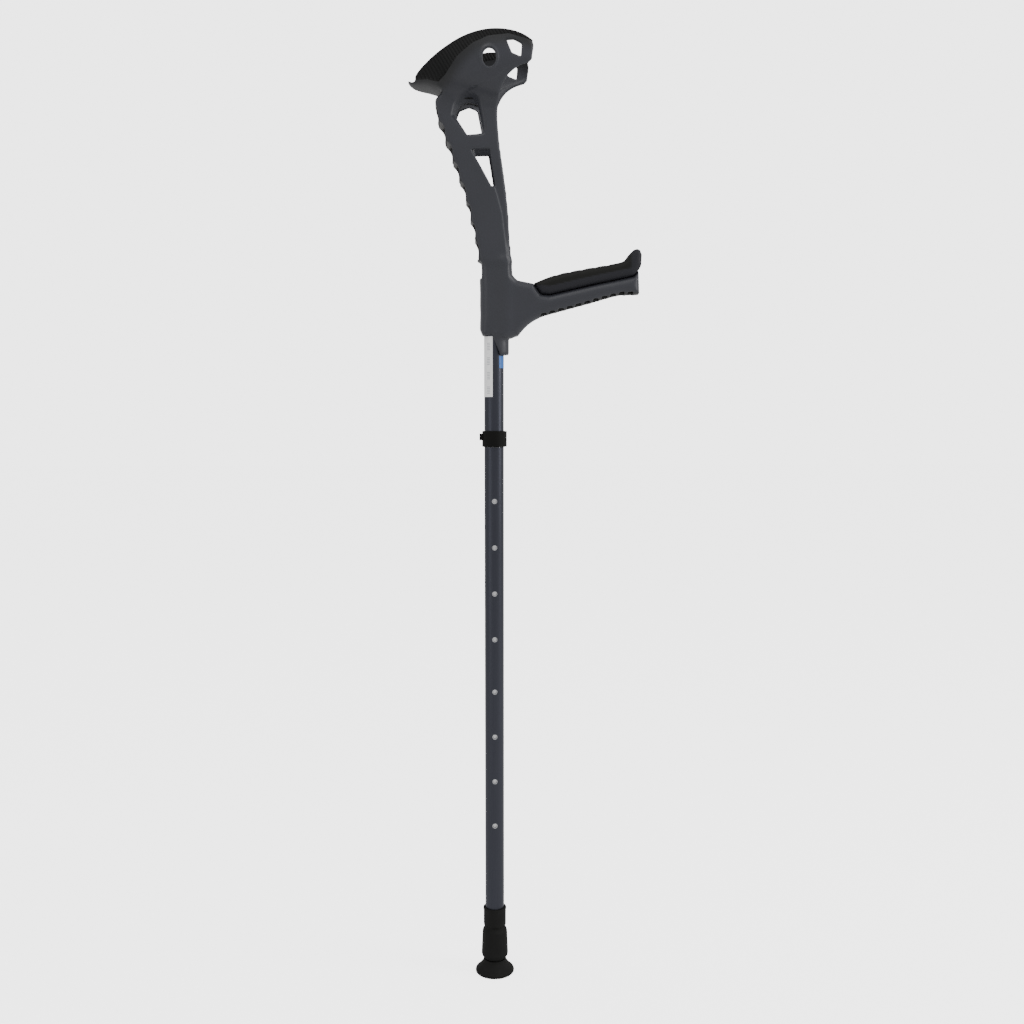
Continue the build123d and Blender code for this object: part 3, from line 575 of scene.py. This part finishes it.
def ferruleField(space):
    # turned shape with soft facets down the bell and small notches in the groove above it
    radius, angle = np.hypot(space.x, space.y), np.arctan2(space.y, space.x)
    low, high = ferrule["facetHigh"]
    facet = ferrule["facetDepth"] * (1 - np.abs(np.cos(angle * ferrule["facets"] / 2)))
    facet = facet * smoothStep(space.z, *ferrule["facetLow"]) * smoothStep(-space.z, -high, -low)
    body = space.outline(ferrule["outline"], radius + facet)
    groove = np.abs(space.z - ferrule["grooveHeight"]) - ferrule["grooveHalf"]
    notch = softMax(groove, 3.2 - 4 * np.cos(angle * ferrule["notches"]), 1.0)
    notch = softMax(notch, ferrule["neckRadius"] - ferrule["notchDepth"] - radius, 0.5)
    bore = np.maximum(radius - ferrule["bore"], ferrule["boreFloor"] - space.z)
    return softMax(softMax(body, -notch, 0.6), -bore, 0.4)


footTread = {
    "box": ((-23.7, -23.7, -2), (23.7, 23.7, 19)), "voxel": 0.65, "dishRadius": 18.35,
    "ballHeight": 30.0, "notches": 26, "notchDepth": 1.0, "notchHeight": 3.0, "rimRadius": 22.6,
    "grooves": (8.0, 13.0, 18.0), "grooveHalf": 0.9, "grooveDepth": 1.5,
    "outline": [(0, 0), (21.9, 0), (22.6, 0.7), (22.75, 2.2), (22.2, 3.6), (19.3, 6.1), (16.5, 9.2),
                (14.2, 12.4), (13.4, 14.6), (12.6, 16.9), (10.2, 16.9), (10.2, 5), (0, 5)]}


def footTreadField(space):
    # turned disc with a dish for the ferrule, round grooves below and fine notches in its rim
    radius, angle = np.hypot(space.x, space.y), np.arctan2(space.y, space.x)
    dish = footTread["dishRadius"] - np.hypot(radius, space.z - footTread["ballHeight"])
    body = softMax(space.outline(footTread["outline"], radius), dish, 0.6)
    for groove in footTread["grooves"]:
        cut = np.maximum(np.abs(radius - groove) - footTread["grooveHalf"],
                         space.z - footTread["grooveDepth"])
        body = softMax(body, -cut, 0.4)
    rim = softMax(footTread["rimRadius"] - footTread["notchDepth"] - radius,
                  space.z - footTread["notchHeight"], 0.5)
    notch = softMax(3.4 - 4.2 * np.cos(angle * footTread["notches"]) ** 2, rim, 0.8)
    return softMax(body, -notch, 0.5)


fieldPiece("rubberFerrule", ferrule, ferruleField, "lower", "ferrule_sleeve",
           footRubber)
fieldPiece("rubberTread", footTread, footTreadField, "foot", "foot_disc", footRubber)

tubes = {
    "anodised": (0.050, 0.052, 0.066), "bare": (0.62, 0.62, 0.63), "bareRadius": 0.01085,
    "rows": (0.1799, 0.3988), "pitch": 0.0527, "holes": 4, "rimRadius": 0.00285,
    "lineScale": 1800.0, "stretch": (1, 1, 0.015), "dullScale": 22.0, "roughness": 0.30}


def lengthOf(tree, first, second):
    squares = mathNode(tree, "ADD", mathNode(tree, "MULTIPLY", first, first),
                       mathNode(tree, "MULTIPLY", second, second))
    return mathNode(tree, "SQRT", squares)


def tubeMaterial():
    # dark anodised outside; bare metal in the holes, on their rims and on the sliding part
    made, tree, shader = material("anodisedTube")
    where = tree.nodes.new("ShaderNodeTexCoord").outputs["Object"]
    split = tree.nodes.new("ShaderNodeSeparateXYZ")
    link(tree, where, split.inputs[0])
    x, y, z = split.outputs
    bare = mathNode(tree, "LESS_THAN", lengthOf(tree, x, y), tubes["bareRadius"])
    for low in tubes["rows"]:
        step = mathNode(tree, "DIVIDE", mathNode(tree, "SUBTRACT", z, low), tubes["pitch"])
        nearest = mathNode(tree, "MAXIMUM", mathNode(tree, "ROUND", step), 0.0)
        nearest = mathNode(tree, "MINIMUM", nearest, tubes["holes"] - 1.0)
        up = mathNode(tree, "MULTIPLY", mathNode(tree, "SUBTRACT", step, nearest), tubes["pitch"])
        rim = mathNode(tree, "LESS_THAN", lengthOf(tree, x, up), tubes["rimRadius"])
        bare = mathNode(tree, "MAXIMUM", bare, rim)
    stretch = tree.nodes.new("ShaderNodeMapping")
    stretch.inputs["Scale"].default_value = tubes["stretch"]
    link(tree, where, stretch.inputs["Vector"])
    lines = noiseNode(tree, stretch.outputs[0], tubes["lineScale"], 3.0)
    darker = tuple(v * 0.8 for v in tubes["anodised"]) + (1,)
    drawn = mixColour(tree, lines, darker, (*tubes["anodised"], 1))
    link(tree, mixColour(tree, bare, drawn, (*tubes["bare"], 1)), shader.inputs["Base Color"])
    dull = mathNode(tree, "MULTIPLY", noiseNode(tree, where, tubes["dullScale"], 4.0), 0.14)
    link(tree, mathNode(tree, "ADD", dull, tubes["roughness"]), shader.inputs["Roughness"])
    shader.inputs["Metallic"].default_value = 0.85
    addBump(tree, shader, lines, 0.00003, 0.25)
    return made


tubeMetal = tubeMaterial()
for node in ("upper_tube", "lower_tube"):
    paint(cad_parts[node], tubeMetal)


def labelMaterial(name, look):
    # printed film: groups of short plain bars in one column
    made, tree, shader = material(name)
    where = tree.nodes.new("ShaderNodeTexCoord").outputs["Object"]
    split = tree.nodes.new("ShaderNodeSeparateXYZ")
    link(tree, where, split.inputs[0])
    across = mathNode(tree, "ARCTAN2", split.outputs[1], split.outputs[0])
    along = mathNode(tree, "MULTIPLY", split.outputs[2], look["barCount"])
    groups = mathNode(tree, "LESS_THAN", mathNode(tree, "FRACT", along), 0.55)
    fine = mathNode(tree, "FRACT", mathNode(tree, "MULTIPLY", along, 9.0))
    bars = mathNode(tree, "MULTIPLY", groups, mathNode(tree, "LESS_THAN", fine, 0.5))
    column = mathNode(tree, "COMPARE", across, look["barAngle"], look["barSpread"])
    ink = mathNode(tree, "MULTIPLY", mathNode(tree, "MULTIPLY", bars, column), look["ink"])
    grubby = mathNode(tree, "MULTIPLY", noiseNode(tree, where, 180.0, 5.0), 0.2)
    dirty = tuple(v * 0.75 for v in look["colour"]) + (1,)
    base = mixColour(tree, grubby, (*look["colour"], 1), dirty)
    link(tree, mixColour(tree, ink, base, (0.18, 0.2, 0.25, 1)), shader.inputs["Base Color"])
    link(tree, mathNode(tree, "ADD", grubby, 0.3), shader.inputs["Roughness"])
    return made


paint(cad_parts["label_white"], labelMaterial("whiteSticker", {
    "colour": (0.93, 0.93, 0.93), "barAngle": -2.2, "barSpread": 0.17, "barCount": 62.0, "ink": 0.6}))
paint(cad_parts["label_blue"], labelMaterial("blueSticker", {
    "colour": (0.03, 0.14, 0.45), "barAngle": 9.0, "barSpread": 0.1, "barCount": 60.0, "ink": 0.0}))

for node in ("clip_shell", "clip_door", "foot_core"):
    paint(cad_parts[node], clipPlastic)
for node in ("tube_cap", "mouth_sleeve", "end_bush", "socket_cup", "cup_ring", "ball_seat"):
    paint(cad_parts[node], innerNylon)
for node in ("socket_pin", "clip_pin", "thrust_washer", "ball_stud", "upper_button", "lower_button",
             "upper_button_spring", "lower_button_spring"):
    paint(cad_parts[node], plainSteel)
print("tubes, clip and foot finished")

stage = {"size": 12.0, "floor": (0.86, 0.86, 0.86), "floorGlow": 2.9, "backdrop": 3.6, "surround": 0.75}
floorMesh = bpy.data.meshes.new("floor")
half = stage["size"]
corners = [(-half, -half, 0), (half, -half, 0), (half, half, 0), (-half, half, 0)]
floorMesh.from_pydata(corners, [], [(0, 1, 2, 3)])
floor = newObject("floor", floorMesh)
floorPaint, floorTree, floorShader = material("floorPaint")
floorShader.inputs["Base Color"].default_value = (*stage["floor"], 1)
floorShader.inputs["Roughness"].default_value = 0.9
seen = floorTree.nodes.new("ShaderNodeLightPath").outputs["Is Camera Ray"]
floorShader.inputs["Emission Color"].default_value = (1, 1, 1, 1)
glow = mathNode(floorTree, "MULTIPLY", seen, stage["floorGlow"])
link(floorTree, glow, floorShader.inputs["Emission Strength"])
paint(floor, floorPaint)

world = bpy.data.worlds.new("studio")
bpy.context.scene.world = world
world.use_nodes = True
backdrop = world.node_tree.nodes["Background"]
backdrop.inputs["Color"].default_value = (1, 1, 1, 1)
seen = world.node_tree.nodes.new("ShaderNodeLightPath").outputs["Is Camera Ray"]
extra = mathNode(world.node_tree, "MULTIPLY", seen, stage["backdrop"] - stage["surround"])
brightness = mathNode(world.node_tree, "ADD", extra, stage["surround"])
link(world.node_tree, brightness, backdrop.inputs["Strength"])


def areaLight(name, spot, target, size, power):
    lamp = bpy.data.lights.new(name, "AREA")
    lamp.shape = "RECTANGLE"
    lamp.size, lamp.size_y = size
    lamp.energy = power
    made = newObject(name, lamp)
    made.location = spot
    made.rotation_euler = (Vector(target) - Vector(spot)).to_track_quat("-Z", "Y").to_euler()


lights = {  # place, point it faces, size in metres and power in watts
    "keyLight": ((1.9, -0.6, 1.5), (0, 0, 0.65), (0.7, 2.0), 26),
    "topLight": ((-0.4, -1.2, 2.6), (0, 0, 0.9), (1.2, 1.2), 14),
    "fillLight": ((-2.2, -1.6, 1.0), (0, 0, 0.5), (1.2, 2.0), 8)}
for lightName, setting in lights.items():
    areaLight(lightName, *setting)

view = {"distance": 1.245, "height": 0.6595, "side": 0.0202, "turn": 3.0, "tilt": 5.3, "lens": 38.67}
turn, tilt = math.radians(view["turn"]), math.radians(view["tilt"])
forward = Vector((math.sin(turn), math.cos(turn), 0))
sideways = Vector((math.cos(turn), -math.sin(turn), 0))
cameraData = bpy.data.cameras.new("camera")
cameraData.lens = view["lens"]
cameraData.clip_start = 0.01
camera = newObject("camera", cameraData)
camera.location = -view["distance"] * forward + view["side"] * sideways + Vector((0, 0, view["height"]))
aim = forward * math.cos(tilt) - Vector((0, 0, math.sin(tilt)))
camera.rotation_euler = aim.to_track_quat("-Z", "Y").to_euler()
bpy.context.scene.camera = camera
print("stage, light and camera set")
